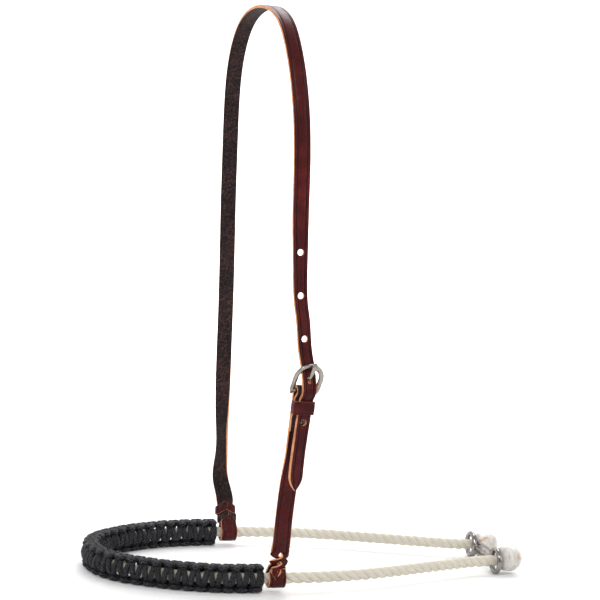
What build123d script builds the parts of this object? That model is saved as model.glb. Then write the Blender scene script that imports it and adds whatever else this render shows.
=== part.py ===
"""Bitless hackamore: a rope noseband with a braided nose cover, joined behind the jaw by a cast
connector, and carried by a leather headstall that buckles on the near (left) cheek.

Millimetres, +Z up, nose towards -X, near side towards -Y. The noseband lies level in the plane
z = 0 while the pieces are built, with its centre line's nose tip at x = 0. The last step moves
every piece so that the origin is at the bottom centre of the whole object.
"""
import os
from math import atan2, cos, degrees, radians, sin

from build123d import *

os.makedirs("parts", exist_ok=True)

# ---- noseband rope -------------------------------------------------------------------------
ROPE_R = 5.2                    # three-strand lariat rope, 10.4 mm across the strands
# One arm of the noseband from the nose tip back: (bend radius, bend angle) or (None, length).
# A negative angle bends the other way, to bring the two arms nearly parallel in the connector.
ARM_RUNS = ((63.0, 50.0), (167.0, 40.0), (None, 34.0), (304.0, 19.5), (None, 92.0),
            (110.0, -11.0), (None, 60.0))
RING_AT = 435.5                 # distance along an arm from the nose tip to the connector ring
ROPE_END_AT = RING_AT + 20.0    # each rope end stops inside its knot

# ---- nose cover, braided from paracord -----------------------------------------------------
COVER_HALF = 180.0              # the cover reaches this far along each arm
COVER_HIGH = 25.8
COVER_DEEP = 18.0
CORD_GAP = 0.1                  # between the rope and the two cords, and between the cords

# ---- end knots -----------------------------------------------------------------------------
KNOT_R = 12.9
KNOT_LONG = 21.5
KNOT_FROM_RING = 4.4
KNOT_FRONT_ROUND = 8.0
KNOT_BACK_ROUND = 9.0

# ---- jaw connector -------------------------------------------------------------------------
RING_R = 10.5                   # centre line of each ring's wire
RING_WIRE_R = 2.3
EYE_WIDE = 14.2                 # middle eye, across its slot
EYE_THICK = 3.4
EYE_SLOT_LONG = 23.0
EYE_SLOT_WIDE = 6.6
EYE_SLOT_UP = 1.3               # the eye's lower bar is broader than its upper bar
EYE_TILT = 70.0                 # above the horizontal: the upper bar stands behind the lower one

# ---- headstall leather ---------------------------------------------------------------------
STRAP_WIDE = 15.5               # five-eighths of an inch, less the edging
BILLET_WIDE = 12.7              # the billet is cut to half an inch to pass the buckle
STRAP_THICK = 3.0
FOLD_THICK = 2.4                # skived where it folds round the buckle bar
LOOP_AT = 192.7                 # the cheek loops' distance from the nose tip, behind the cover
LOOP_IN_R = ROPE_R + 0.6
LOOP_OUT_R = LOOP_IN_R + STRAP_THICK
KNOT_STEM_HIGH = 38.0           # top of the bleed knot above the rope's centre
KNOT_STEM_THICK = 6.4           # two layers drawn through each other
CHEEK_LEAN = 18.0               # the loops lean outward, as the cheeks do
SLIT_LONG, SLIT_WIDE, SLIT_TILT = 5.2, 2.4, 35.0
SLIT_HEIGHTS = (12.5, 18.5, 25.0)
STRAP_STARTS = KNOT_STEM_HIGH - 8.0   # the strap overlaps the top of its knot's stem
SECTION_STEP = 7.0              # spacing of the sections that a strap is drawn through
HOLE_R = 2.9
HOLE_PITCH = 37.5               # billet holes, taken as about an inch and a half apart
SPARE_HOLES = ((-1, 8.0), (1, 8.0), (2, 6.0), (3, 3.5))   # pitches up, heading of the width
TONGUE_SLOT_LONG, TONGUE_SLOT_WIDE = 8.0, 4.4             # the tongue stretches its hole

# The headstall's shape on the far side, from the bleed knot up to the poll:
# (height, lean x, half width, heading of the strap's width, strap width)
FAR_CHEEK = ((50, 147.6, 106.0, -30, 15.5), (72, 147.5, 112.7, -58, 15.0),
             (95, 147.5, 118.5, -60, 14.8), (122, 147.5, 123.5, -40, 14.8),
             (150, 147.4, 127.0, -25, 15.0), (185, 147.2, 129.8, -19, 15.0),
             (225, 146.2, 130.0, -17, 15.0), (275, 143.8, 127.6, -17, 15.0),
             (325, 141.3, 125.6, -16, 15.0), (375, 139.5, 124.2, -15, 15.0))
POLL_ARCH = ((420, 137.2, 119.0), (450, 135.3, 108.5), (475, 134.1, 91.5), (494, 133.7, 68.0),
             (505, 133.7, 36.0))
POLL_TOP = (508.3, 133.7)       # height and lean at the top of the arch
NEAR_CHEEK = ((375, 139.5, 124.4, 0, 15.0), (325, 141.1, 125.8, 1, 14.6),
              (285, 143.0, 127.2, 4, 13.4), (250, 146.0, 128.8, 7, 12.7))
# The buckle strap from its bleed knot up to the straight part under the buckle
BUCKLE_CHEEK = ((50, 149.1, 106.2, -14, 15.5), (75, 148.1, 113.6, -16, 15.5),
                (100, 148.0, 120.6, -8, 15.5), (118, 148.7, 124.6, 3, 15.5))

# ---- buckle, keeper and screw, in a frame of their own on the near cheek ---------------------
# u runs along the strap's width, v up the strap, n outward; n = 0 is the middle of the back layer
BUCKLE_AT = (150.6, -129.85, 178.0)
BUCKLE_HEADING, BUCKLE_LEAN, BUCKLE_ROLL = 8.0, 3.0, 2.2
BAR_R = 1.55
BAR_N = 4.4                     # the bar's centre, inside the fold
FOLD_IN_R = BAR_N - STRAP_THICK / 2
FOLD_OUT_R = FOLD_IN_R + FOLD_THICK
FRONT_IN = 3.4                  # inner face of the front layer, below the bar
FRONT_CLAMPED = 1.6             # the same face where the screw draws the layers together
FOLD_END_V = -36.0
CRAB_WIDE, CRAB_LONG = 6.4, 12.0      # the slot in the fold that the tongue works in
SCREW_V = -27.5
SCREW_POST_R = 2.2
SCREW_HEAD_R = 4.3
SCREW_HEAD_THICK = 1.2
FRAME_TURN = 5.0                # the buckle hangs slightly turned in its fold
FRAME_LEAN = 17.0               # its top rail stands in front of the billet
FRAME_U = 0.3
FRAME_THICK = 3.2
FRAME_OUT_R, FRAME_IN_R = 14.2, 9.7
FRAME_CENTRE_V = 12.5
FRAME_FOOT = -2.2
TONGUE_R = 1.05
TONGUE_EYE_R = 3.35
KEEPER_TOP_V, KEEPER_HIGH = -8.0, 11.5
KEEPER_WALL = 1.8
KEEPER_INNER_WALL = 1.4
SLIP = 0.3                      # clearance between pieces that move past each other
# The billet through the buckle: (v, n, u)
BILLET_RUN = ((62, -3.2, -5.5), (45, -1.3, -2.9), (34, 0.7, -1.25), (25, 4.3, 0.0),
              (12.4, 9.4, 1.2), (4.0, 11.8, 1.6), (0.0, 11.9, 1.8), (-4.0, 10.0, 1.7),
              (-7.0, 8.3, 1.7), (-10.0, 7.9, 1.7), (-16.0, 7.9, 1.6), (-22.0, 8.0, 1.4),
              (-40.0, 8.4, 0.6), (-61.0, 8.6, 0.2), (-87.5, 8.9, 1.0))
BILLET_U, BILLET_OVER_BAR = 1.5, 10.2      # where the tongue comes through the billet
TONGUE_HOLE_V = 10.2
TONGUE_SLOT_UP = 1.0            # the tongue has drawn its hole out upward
TIP_V = -87.5
TIP_LONG = 15.0


def arm_point(distance, side=1):
    """Point and heading on an arm's centre line, at a distance from the nose tip."""
    x, y, heading = 0.0, 0.0, 90.0
    left = distance
    for radius, size in ARM_RUNS:
        length = size if radius is None else radius * abs(radians(size))
        step = min(left, length)
        if radius is None:
            x += step * cos(radians(heading))
            y += step * sin(radians(heading))
        else:
            turn = -degrees(step / radius) * (1 if size > 0 else -1)
            chord = 2 * radius * sin(abs(radians(turn)) / 2)
            x += chord * cos(radians(heading + turn / 2))
            y += chord * sin(radians(heading + turn / 2))
            heading += turn
        left -= step
        if left <= 1e-9:
            break
    return Vector(x, side * y, 0), side * heading


def arm_edges(reach, side):
    """The edges of one arm's centre line from the nose tip, out to a given distance."""
    edges, start = [], 0.0
    for radius, size in ARM_RUNS:
        length = size if radius is None else radius * abs(radians(size))
        end = min(start + length, reach)
        first, last = arm_point(start, side)[0], arm_point(end, side)[0]
        if radius is None:
            edges.append(Line(first, last))
        else:
            edges.append(ThreePointArc(first, arm_point((start + end) / 2, side)[0], last))
        start = end
        if start >= reach - 1e-6:
            break
    return edges


def noseband_path(reach):
    """The noseband's centre line from the near side, round the nose, to the far side."""
    return Wire(list(reversed(arm_edges(reach, -1))) + arm_edges(reach, 1))


def swept(face, path):
    """A flat face, drawn with x outward and y up, carried along the noseband's path."""
    near_end, heading = arm_point(path.length / 2, -1)
    return sweep(Plane(origin=near_end, x_dir=side_of(heading), z_dir=-along(heading)) * face,
                 path=path)


def along(heading):
    return Vector(cos(radians(heading)), sin(radians(heading)), 0)


def side_of(heading):
    """The outward direction of the near arm, square to its heading."""
    return Vector(sin(radians(heading)), -cos(radians(heading)), 0)


def rope():
    return swept(Circle(ROPE_R), noseband_path(ROPE_END_AT))


def cover_cord(outer):
    """One cord's share of the braid: the half of the sleeve on the outer or the inner face."""
    sleeve = RectangleRounded(COVER_DEEP, COVER_HIGH, COVER_DEEP / 2 - 0.5) - Circle(ROPE_R + CORD_GAP)
    keep = Pos((COVER_DEEP / 2 + CORD_GAP / 2) * (1 if outer else -1), 0) * Rectangle(
        COVER_DEEP, 2 * COVER_HIGH)
    return swept(sleeve & keep, noseband_path(COVER_HALF))


def end_knot(side):
    """The wrapped and sealed end of the rope, a barrel bored for the rope that it stops on."""
    start, heading = arm_point(RING_AT + KNOT_FROM_RING, side)
    from_bottom = (Align.CENTER, Align.CENTER, Align.MIN)
    barrel = Cylinder(KNOT_R, KNOT_LONG, align=from_bottom)
    rims = barrel.edges().filter_by(GeomType.CIRCLE).sort_by(Axis.Z)
    barrel = fillet(rims[-1], KNOT_BACK_ROUND)
    rims = barrel.edges().filter_by(GeomType.CIRCLE).sort_by(Axis.Z)
    barrel = fillet(rims[0], KNOT_FRONT_ROUND)
    bore = Cylinder(ROPE_R + CORD_GAP, ROPE_END_AT - RING_AT - KNOT_FROM_RING + CORD_GAP,
                    align=from_bottom)
    return Plane(origin=start, z_dir=along(heading)) * (barrel - bore)


def connector():
    """Two wire rings in one plane, joined by a flat slotted eye for the tie-down strap."""
    centre, _ = arm_point(RING_AT, 1)
    ring = Rot(0, 90, 0) * Torus(RING_R, RING_WIRE_R)
    tilt = radians(EYE_TILT)
    eye_plane = Plane(origin=(centre.X, 0, 0), x_dir=(0, 1, 0),
                      z_dir=Vector(0, 1, 0).cross(Vector(cos(tilt), 0, sin(tilt))))
    reach = 2 * (centre.Y - RING_R) + 0.6
    eye = extrude(RectangleRounded(reach, EYE_WIDE, EYE_WIDE * 0.42)
                  - Pos(0, EYE_SLOT_UP) * SlotOverall(EYE_SLOT_LONG, EYE_SLOT_WIDE),
                  EYE_THICK / 2, both=True)
    eye = fillet(eye.edges().filter_by(Plane.XY), EYE_THICK * 0.3)
    return (Pos(centre.X, centre.Y, 0) * ring + Pos(centre.X, -centre.Y, 0) * ring
            + eye_plane * eye)


def turned(vector, axis, angle):
    return Vector(vector).rotate(Axis((0, 0, 0), axis), angle)


def buckle_axes():
    """Directions u, v and n of the buckle's own frame."""
    h = radians(BUCKLE_HEADING)
    u, n, v = Vector(cos(h), sin(h), 0), Vector(sin(h), -cos(h), 0), Vector(0, 0, 1)
    v, n = turned(v, u, BUCKLE_LEAN), turned(n, u, BUCKLE_LEAN)
    return turned(u, n, -BUCKLE_ROLL), turned(v, n, -BUCKLE_ROLL), n


U, V, N = buckle_axes()


def at_buckle(u, v, n):
    """A point given in the buckle's own frame."""
    return Vector(*BUCKLE_AT) + U * u + V * v + N * n


BUCKLE_PLANE = Plane(origin=BUCKLE_AT, x_dir=U, z_dir=N)
# looking along the strap's width: x is outward, y is up the strap, extrusion runs along -u
PROFILE_PLANE = Plane(origin=BUCKLE_AT, x_dir=N, z_dir=N.cross(V))


def blend(values, places, place):
    """Straight-line interpolation of values given at increasing places."""
    for i in range(1, len(places)):
        if place <= places[i] or i == len(places) - 1:
            share = (place - places[i - 1]) / (places[i] - places[i - 1])
            return values[i - 1] + (values[i] - values[i - 1]) * max(0.0, min(1.0, share))


def ribbon(stations, last=None):
    """A leather strap through (point, heading of its width, width) stations.

    The last section lies in a given plane where the strap joins another piece of itself.
    Returns the solid and its centre line, so that holes can be spaced along it.
    """
    points = [Vector(*point) for point, _, _ in stations]
    spine = Spline(*points)
    places, cuts = [0.0], [0.0]
    for a, b in zip(points, points[1:]):
        span = (b - a).length
        pieces_here = max(1, round(span / SECTION_STEP))
        cuts += [places[-1] + span * (k + 1) / pieces_here for k in range(pieces_here)]
        places.append(places[-1] + span)
    faces = []
    for place in cuts:
        way = min(place / places[-1], 1.0) * spine.length
        point = spine.position_at(way, position_mode=PositionMode.LENGTH)
        tangent = spine.tangent_at(way, position_mode=PositionMode.LENGTH)
        heading = radians(blend([s[1] for s in stations], places, place))
        across = Vector(cos(heading), sin(heading), 0)
        across = (across - tangent * across.dot(tangent)).normalized()
        wide = blend([s[2] for s in stations], places, place)
        section = Plane(origin=point, x_dir=across, z_dir=tangent)
        if last and place is cuts[-1]:
            section = last
        faces.append(section * Rectangle(wide, STRAP_THICK))
    return loft(faces, ruled=True), spine


def bleed_knot(side):
    """The cheek loop round the rope and the split-leather knot above it, as one piece."""
    drawn = (Circle(LOOP_OUT_R)
             + Pos(0, KNOT_STEM_HIGH / 2) * Rectangle(KNOT_STEM_THICK, KNOT_STEM_HIGH)
             - Circle(LOOP_IN_R))
    knot = extrude(drawn, STRAP_WIDE / 2, both=True)
    for i, height in enumerate(SLIT_HEIGHTS):
        slit = extrude(Rot(0, 0, SLIT_TILT if i % 2 else -SLIT_TILT) * SlotOverall(SLIT_LONG, SLIT_WIDE),
                       KNOT_STEM_THICK, both=True)
        knot -= Pos(0, height, 0) * Rot(0, 90, 0) * slit
    # x of the drawing points outward, y up, and it is extruded along the rope
    plane = Plane(origin=arm_point(LOOP_AT, side)[0], x_dir=(0, side, 0),
                  z_dir=Vector(0, side, 0).cross(Vector(0, 0, 1)))
    return plane * (Rot(0, 0, -CHEEK_LEAN) * knot)


def stem_point(side, height):
    """A point on a bleed knot's leaning stem, at a distance above the rope's centre."""
    lean = radians(CHEEK_LEAN)
    return arm_point(LOOP_AT, side)[0] + Vector(0, side * height * sin(lean), height * cos(lean))


def crown_strap():
    """Far cheek, poll and near billet: one long strap with five holes and a pointed end."""
    stations = [(stem_point(1, STRAP_STARTS), -4, STRAP_WIDE)]
    stations += [((x, half, z), heading, wide) for z, x, half, heading, wide in FAR_CHEEK]
    stations += [((x, half, z), -12 + 3 * i, 15.0) for i, (z, x, half) in enumerate(POLL_ARCH)]
    stations += [((POLL_TOP[1], 0, POLL_TOP[0]), 0, 15.0)]
    stations += [((x, -half, z), 0, 15.0) for z, x, half in reversed(POLL_ARCH)]
    stations += [((x, -half, z), heading, wide) for z, x, half, heading, wide in NEAR_CHEEK]
    stations += [(at_buckle(u, v, n), BUCKLE_HEADING, BILLET_WIDE) for v, n, u in BILLET_RUN]
    strap, spine = ribbon(stations)
    strap += bleed_knot(1)

    # billet holes: one takes the tongue, the others are one pitch apart along the strap
    steps = 1500
    spots = [spine.position_at(i / steps * spine.length, position_mode=PositionMode.LENGTH)
             for i in range(steps + 1)]
    tongue_hole = at_buckle(BILLET_U, TONGUE_HOLE_V, BILLET_OVER_BAR)
    here = min(range(steps + 1), key=lambda i: (spots[i] - tongue_hole).length)
    per_pitch = HOLE_PITCH / spine.length * steps
    for count, heading in SPARE_HOLES:
        i = round(here - count * per_pitch)
        way = (spots[i + 1] - spots[i - 1]).normalized()
        outward = way.cross(along(heading)).normalized()
        strap -= Plane(origin=spots[i], z_dir=outward) * Cylinder(HOLE_R, 4 * STRAP_THICK)
    slot = extrude(SlotOverall(TONGUE_SLOT_LONG, TONGUE_SLOT_WIDE, rotation=90),
                   2 * STRAP_THICK, both=True)
    strap -= BUCKLE_PLANE * Pos(BILLET_U, TONGUE_HOLE_V + TONGUE_SLOT_UP, BILLET_OVER_BAR) * slot

    # English point at the end of the billet
    half = BILLET_WIDE / 2
    shoulder = TIP_V + TIP_LONG
    point = (Polyline((half, shoulder), (half + 6, shoulder), (half + 6, TIP_V - 6),
                      (-half - 6, TIP_V - 6), (-half - 6, shoulder), (-half, shoulder))
             + ThreePointArc((-half, shoulder), (-half * 0.62, TIP_V + TIP_LONG * 0.42), (0, TIP_V))
             + ThreePointArc((0, TIP_V), (half * 0.62, TIP_V + TIP_LONG * 0.42), (half, shoulder)))
    waste = extrude(make_face(point), 4 * STRAP_THICK, both=True)
    _, tip_n, tip_u = BILLET_RUN[-1]
    return strap - BUCKLE_PLANE * Pos(tip_u, 0, tip_n) * waste


def buckle_strap():
    """Near cheek: bleed knot, strap, the fold round the buckle bar and its front layer."""
    under = SCREW_V - 12
    stations = [(stem_point(-1, STRAP_STARTS), -6, STRAP_WIDE)]
    stations += [((x, -half, z), heading, wide) for z, x, half, heading, wide in BUCKLE_CHEEK]
    stations += [(at_buckle(0, under - 6, 0), BUCKLE_HEADING, STRAP_WIDE),
                 (at_buckle(0, under, 0), BUCKLE_HEADING, STRAP_WIDE)]
    strap, _ = ribbon(stations, Plane(origin=at_buckle(0, under, 0), x_dir=U, z_dir=V))
    strap += bleed_knot(-1)
    top = KEEPER_TOP_V - KEEPER_HIGH - 1.4
    half = STRAP_THICK / 2
    back = Polyline((-half, under), (half, under), (half, 0), (-half, 0), close=True)
    fold = Pos(BAR_N, 0) * (Circle(FOLD_OUT_R) - Circle(FOLD_IN_R))
    fold &= Pos(BAR_N, FOLD_OUT_R) * Rectangle(4 * FOLD_OUT_R, 2 * FOLD_OUT_R)
    outer_side = BAR_N + FOLD_IN_R
    front = Polyline((outer_side, 0), (outer_side - 1.2, -2.8), (FRONT_IN, -5.2),
                     (FRONT_IN, top), (FRONT_CLAMPED, top - 2),
                     (FRONT_CLAMPED, FOLD_END_V), (FRONT_CLAMPED + FOLD_THICK, FOLD_END_V),
                     (FRONT_CLAMPED + FOLD_THICK, top - 2), (FRONT_IN + FOLD_THICK, top),
                     (FRONT_IN + FOLD_THICK, -5.4), (outer_side + FOLD_THICK - 1.4, -2.9),
                     (outer_side + FOLD_THICK, 0), close=True)
    # the fold's inner end meets the back layer's full thickness at the bar's height
    drawn = make_face(back) + fold + make_face(front)
    strap += PROFILE_PLANE * extrude(drawn, STRAP_WIDE / 2, both=True)
    # the slot that lets the tongue out of the fold, and the screw's hole through both layers
    strap -= BUCKLE_PLANE * Pos(FRAME_U, 0, BAR_N) * Box(CRAB_WIDE, CRAB_LONG, 4 * FOLD_OUT_R)
    strap -= BUCKLE_PLANE * Pos(0, SCREW_V, 0) * Cylinder(SCREW_POST_R + 0.05, 4 * STRAP_THICK)
    return strap


def frame_plane(lean):
    """A plane on the buckle bar's centre, turned with the buckle and leaning out by an angle."""
    across = turned(U, N, -FRAME_TURN)
    return Plane(origin=at_buckle(FRAME_U, 0, BAR_N), x_dir=across, z_dir=turned(N, across, lean))


def buckle_frame():
    """Horseshoe frame and the bar that the strap folds round."""
    outer = Pos(0, FRAME_CENTRE_V) * Circle(FRAME_OUT_R) + make_face(Polyline(
        (-FRAME_OUT_R, FRAME_CENTRE_V), (FRAME_OUT_R, FRAME_CENTRE_V),
        (FRAME_OUT_R - 0.6, FRAME_FOOT), (-FRAME_OUT_R + 0.6, FRAME_FOOT), close=True))
    inner = Pos(0, FRAME_CENTRE_V) * Circle(FRAME_IN_R) + Pos(0, 0) * Rectangle(
        2 * FRAME_IN_R, 2 * FRAME_CENTRE_V)
    rim = extrude(outer - inner, FRAME_THICK / 2, both=True)
    rim = chamfer(rim.edges().filter_by(Plane.XY), FRAME_THICK * 0.22)
    bar = Rot(0, 90, 0) * Cylinder(BAR_R, 2 * FRAME_IN_R + 4)
    return frame_plane(FRAME_LEAN) * (rim + bar)


def buckle_tongue():
    """Tongue: an eye round the bar and a shank that rises through the billet to the rail."""
    run = ((2.6, 1.9, 2.4, 2.1), (9.0, 2.6, 2.2, 2.0), (14.6, 9.2, 2.4, 2.0),
           (19.5, 10.4, 3.4, 2.0), (24.0, 11.0, 4.6, 2.0), (27.2, 10.7, 4.0, 1.5))
    eye = Rot(0, 90, 0) * Torus(TONGUE_EYE_R, TONGUE_R)
    shapes = eye
    faces = []
    for i, (y, z, wide, thick) in enumerate(run):
        y0, z0 = run[max(0, i - 1)][:2]
        y1, z1 = run[min(len(run) - 1, i + 1)][:2]
        slope = degrees(atan2(z1 - z0, y1 - y0))
        section = Plane(origin=(0, y, z), x_dir=(1, 0, 0),
                        z_dir=(0, cos(radians(slope)), sin(radians(slope))))
        faces.append(section * RectangleRounded(wide, thick, 0.45 * thick))
    shapes += loft(faces, ruled=True)
    return frame_plane(0) * shapes


def keeper():
    """Leather keeper round the billet and the front layer, slipped between the fold's layers."""
    inner_u = STRAP_WIDE / 2 + SLIP + 0.25
    low = STRAP_THICK / 2 + SLIP - 0.05
    high = FRONT_IN + FOLD_THICK + STRAP_THICK + 4 * SLIP
    outer = Pos(0, (low + high + KEEPER_WALL) / 2) * RectangleRounded(
        2 * (inner_u + KEEPER_WALL), high + KEEPER_WALL - low, 1.3)
    mouth = Pos(0, (low + KEEPER_INNER_WALL + high) / 2) * RectangleRounded(
        2 * inner_u, high - low - KEEPER_INNER_WALL, 0.6)
    plane = Plane(origin=at_buckle(0, KEEPER_TOP_V, 0), x_dir=U, z_dir=-V)
    return plane * extrude(outer - mouth, KEEPER_HIGH)


def screw_piece(cap):
    """Half of the Chicago screw: the post from the back, or the cap over the front layer."""
    front = FRONT_CLAMPED + FOLD_THICK
    back = -STRAP_THICK / 2
    lift = Align.CENTER, Align.CENTER, Align.MIN
    if cap:
        head = Pos(0, 0, front + 0.02) * Cylinder(SCREW_HEAD_R, SCREW_HEAD_THICK, align=lift)
        head = fillet(head.edges().sort_by(Axis.Z)[-1], SCREW_HEAD_THICK * 0.6)
    else:
        head = Pos(0, 0, back - 0.02 - SCREW_HEAD_THICK) * Cylinder(
            SCREW_HEAD_R, SCREW_HEAD_THICK, align=lift)
        head = fillet(head.edges().sort_by(Axis.Z)[0], SCREW_HEAD_THICK * 0.6)
        head += Pos(0, 0, back - 0.1) * Cylinder(SCREW_POST_R, front - back + 0.1, align=lift)
    return BUCKLE_PLANE * Pos(0, SCREW_V, 0) * head


pieces = {
    "noseband_rope": rope(),
    "cover_cord_outer": cover_cord(True),
    "cover_cord_inner": cover_cord(False),
    "end_knot_near": end_knot(-1),
    "end_knot_far": end_knot(1),
    "jaw_connector": connector(),
    "crown_strap": crown_strap(),
    "buckle_strap": buckle_strap(),
    "buckle_frame": buckle_frame(),
    "buckle_tongue": buckle_tongue(),
    "keeper_loop": keeper(),
    "screw_post": screw_piece(False),
    "screw_cap": screw_piece(True),
}

box = Compound(children=[Compound(p.wrapped) for p in pieces.values()]).bounding_box()
shift = Pos(-box.center().X, -box.center().Y, -box.min.Z)
for name, shape in pieces.items():
    shape = shift * shape
    print(name, len(shape.solids()), "solid(s)", round(shape.volume, 1), "mm3", shape.is_valid)
    export_step(shape, "parts/" + name + ".step")
print("origin moved by", [round(c, 3) for c in shift.position])
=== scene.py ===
from math import atan2, cos, degrees, pi, radians, sin, sqrt

import bmesh
import bpy
import numpy as np
from mathutils import Matrix, Vector


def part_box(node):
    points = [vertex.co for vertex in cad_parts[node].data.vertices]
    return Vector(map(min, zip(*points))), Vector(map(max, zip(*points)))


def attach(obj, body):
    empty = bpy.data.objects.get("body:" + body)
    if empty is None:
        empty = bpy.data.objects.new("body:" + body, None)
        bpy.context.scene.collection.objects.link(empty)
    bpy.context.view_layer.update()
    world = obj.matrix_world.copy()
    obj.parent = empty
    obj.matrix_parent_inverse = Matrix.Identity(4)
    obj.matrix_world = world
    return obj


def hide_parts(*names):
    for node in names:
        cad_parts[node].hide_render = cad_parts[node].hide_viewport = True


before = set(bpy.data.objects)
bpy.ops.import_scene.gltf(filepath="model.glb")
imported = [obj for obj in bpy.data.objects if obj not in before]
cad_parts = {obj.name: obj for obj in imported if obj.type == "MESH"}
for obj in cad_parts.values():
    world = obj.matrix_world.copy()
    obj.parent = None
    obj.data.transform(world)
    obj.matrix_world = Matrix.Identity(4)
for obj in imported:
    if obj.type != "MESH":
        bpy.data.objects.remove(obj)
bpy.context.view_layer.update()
rng = np.random.default_rng(7)
MM = 0.001

# The noseband's centre line: (bend radius, bend angle) or (None, length) from the nose tip back,
# in millimetres from the nose tip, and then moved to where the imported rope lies.
ARM_RUNS = ((63.0, 50.0), (167.0, 40.0), (None, 34.0), (304.0, 19.5), (None, 92.0),
            (110.0, -11.0), (None, 60.0))
ROPE_R = 5.2
RING_AT, ROPE_END_AT, COVER_HALF, LOOP_AT = 435.5, 455.5, 180.0, 192.7
rope_lo, rope_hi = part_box("noseband_rope")
ORIGIN = Vector((rope_lo.x + ROPE_R * MM, (rope_lo.y + rope_hi.y) / 2, (rope_lo.z + rope_hi.z) / 2))


def place(p):
    """A point given in millimetres from the nose tip, in the row frame."""
    return ORIGIN + Vector(p) * MM


def arm_point(distance, side=1):
    x, y, heading, left = 0.0, 0.0, 90.0, distance
    for radius, size in ARM_RUNS:
        length = size if radius is None else radius * abs(radians(size))
        step = min(left, length)
        if radius is None:
            x += step * cos(radians(heading))
            y += step * sin(radians(heading))
        else:
            turn = -degrees(step / radius) * (1 if size > 0 else -1)
            chord = 2 * radius * sin(abs(radians(turn)) / 2)
            x += chord * cos(radians(heading + turn / 2))
            y += chord * sin(radians(heading + turn / 2))
            heading += turn
        left -= step
        if left <= 1e-9:
            break
    return Vector((x, side * y, 0)), side * heading


def band(t):
    """Point, direction and outward side of the noseband at t mm from the nose tip, near side negative."""
    side = -1 if t < 0 else 1
    point, heading = arm_point(abs(t), side)
    h = radians(heading)
    ahead = Vector((cos(h), sin(h), 0)) * side
    return point, ahead, Vector((-ahead.y, ahead.x, 0))


# ---- meshes ---------------------------------------------------------------------------------
def new_object(name, verts, faces, flow=None, mats=(), mat_of=None, smooth=True):
    mesh = bpy.data.meshes.new(name)
    mesh.from_pydata([tuple(v) for v in verts], [], faces)
    if flow is not None:
        layer = mesh.uv_layers.new(name="flow")
        layer.data.foreach_set("uv", np.asarray(flow, np.float32).ravel())
    for m in mats:
        mesh.materials.append(m)
    if mat_of is not None:
        mesh.polygons.foreach_set("material_index", mat_of)
    mesh.polygons.foreach_set("use_smooth", [smooth] * len(mesh.polygons))
    mesh.update()
    obj = bpy.data.objects.new(name, mesh)
    bpy.context.scene.collection.objects.link(obj)
    return obj


def skin(name, rings, mats, closed=False, seg_mat=None, lengths=None, cap_mat=0, cap_dome=0.0):
    """A mesh through rings of points, all the same count. Its UV map, flow, is (round, along) in mm."""
    count, sides = len(rings), len(rings[0])
    verts = [p for ring in rings for p in ring]
    if lengths is None:
        mids = [sum((Vector(p) for p in ring), Vector()) / sides for ring in rings]
        lengths = [0.0]
        for a, b in zip(mids, mids[1:]):
            lengths.append(lengths[-1] + (b - a).length / MM)
    around = [0.0]
    middle = rings[count // 2]
    for i in range(sides):
        around.append(around[-1] + (Vector(middle[(i + 1) % sides]) - Vector(middle[i])).length / MM)
    faces, flow, mat_of = [], [], []
    spans = count if closed else count - 1
    total = lengths[-1] + (lengths[1] - lengths[0] if closed else 0)
    for j in range(spans):
        k = (j + 1) % count
        v0, v1 = lengths[j], lengths[j + 1] if j + 1 < count else total
        for i in range(sides):
            n = (i + 1) % sides
            faces.append((j * sides + i, j * sides + n, k * sides + n, k * sides + i))
            flow += [(around[i], v0), (around[i + 1], v0), (around[i + 1], v1), (around[i], v1)]
            mat_of.append(seg_mat[i] if seg_mat else 0)
    if not closed:
        for start, ring, flip in ((0, rings[0], True), ((count - 1) * sides, rings[-1], False)):
            centre = sum((Vector(p) for p in ring), Vector()) / sides
            inner = rings[1] if flip else rings[-2]
            away = (centre - sum((Vector(p) for p in inner), Vector()) / sides).normalized()
            verts.append(centre + away * cap_dome * MM)
            tip = len(verts) - 1
            for i in range(sides):
                n = (i + 1) % sides
                faces.append((start + n, start + i, tip) if flip else (start + i, start + n, tip))
                flow += [(around[i], 0), (around[i + 1], 0), (around[i], 1)]
                mat_of.append(cap_mat)
    obj = new_object(name, verts, faces, flow, mats, mat_of)
    probe = bmesh.new()
    probe.from_mesh(obj.data)
    if probe.calc_volume(signed=True) < 0:
        obj.data.flip_normals()
    probe.free()
    return obj


def tube(name, points, radius, mats, sides=14, closed=False, wide=None, hint=None, cap_dome=1.0):
    """A round or oval cord through closely spaced points (mm), with frames that don't twist."""
    pts = [Vector(p) for p in points]
    count = len(pts)
    rings, side = [], None
    for i, p in enumerate(pts):
        a = pts[(i - 1) % count] if closed or i else p
        b = pts[(i + 1) % count] if closed or i < count - 1 else p
        ahead = (b - a).normalized()
        if hint is not None:
            side = hint[i] - ahead * ahead.dot(hint[i])
        elif side is None:
            side = ahead.orthogonal()
        else:
            side = side - ahead * ahead.dot(side)
        side = side.normalized()
        other = ahead.cross(side)
        r = radius[i] if hasattr(radius, "__len__") else radius
        w = r if wide is None else (wide[i] if hasattr(wide, "__len__") else wide)
        rings.append([place(p + side * (r * cos(2 * pi * k / sides)) + other * (w * sin(2 * pi * k / sides)))
                      for k in range(sides)])
    return skin(name, rings, mats, closed=closed, cap_dome=cap_dome)


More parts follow.
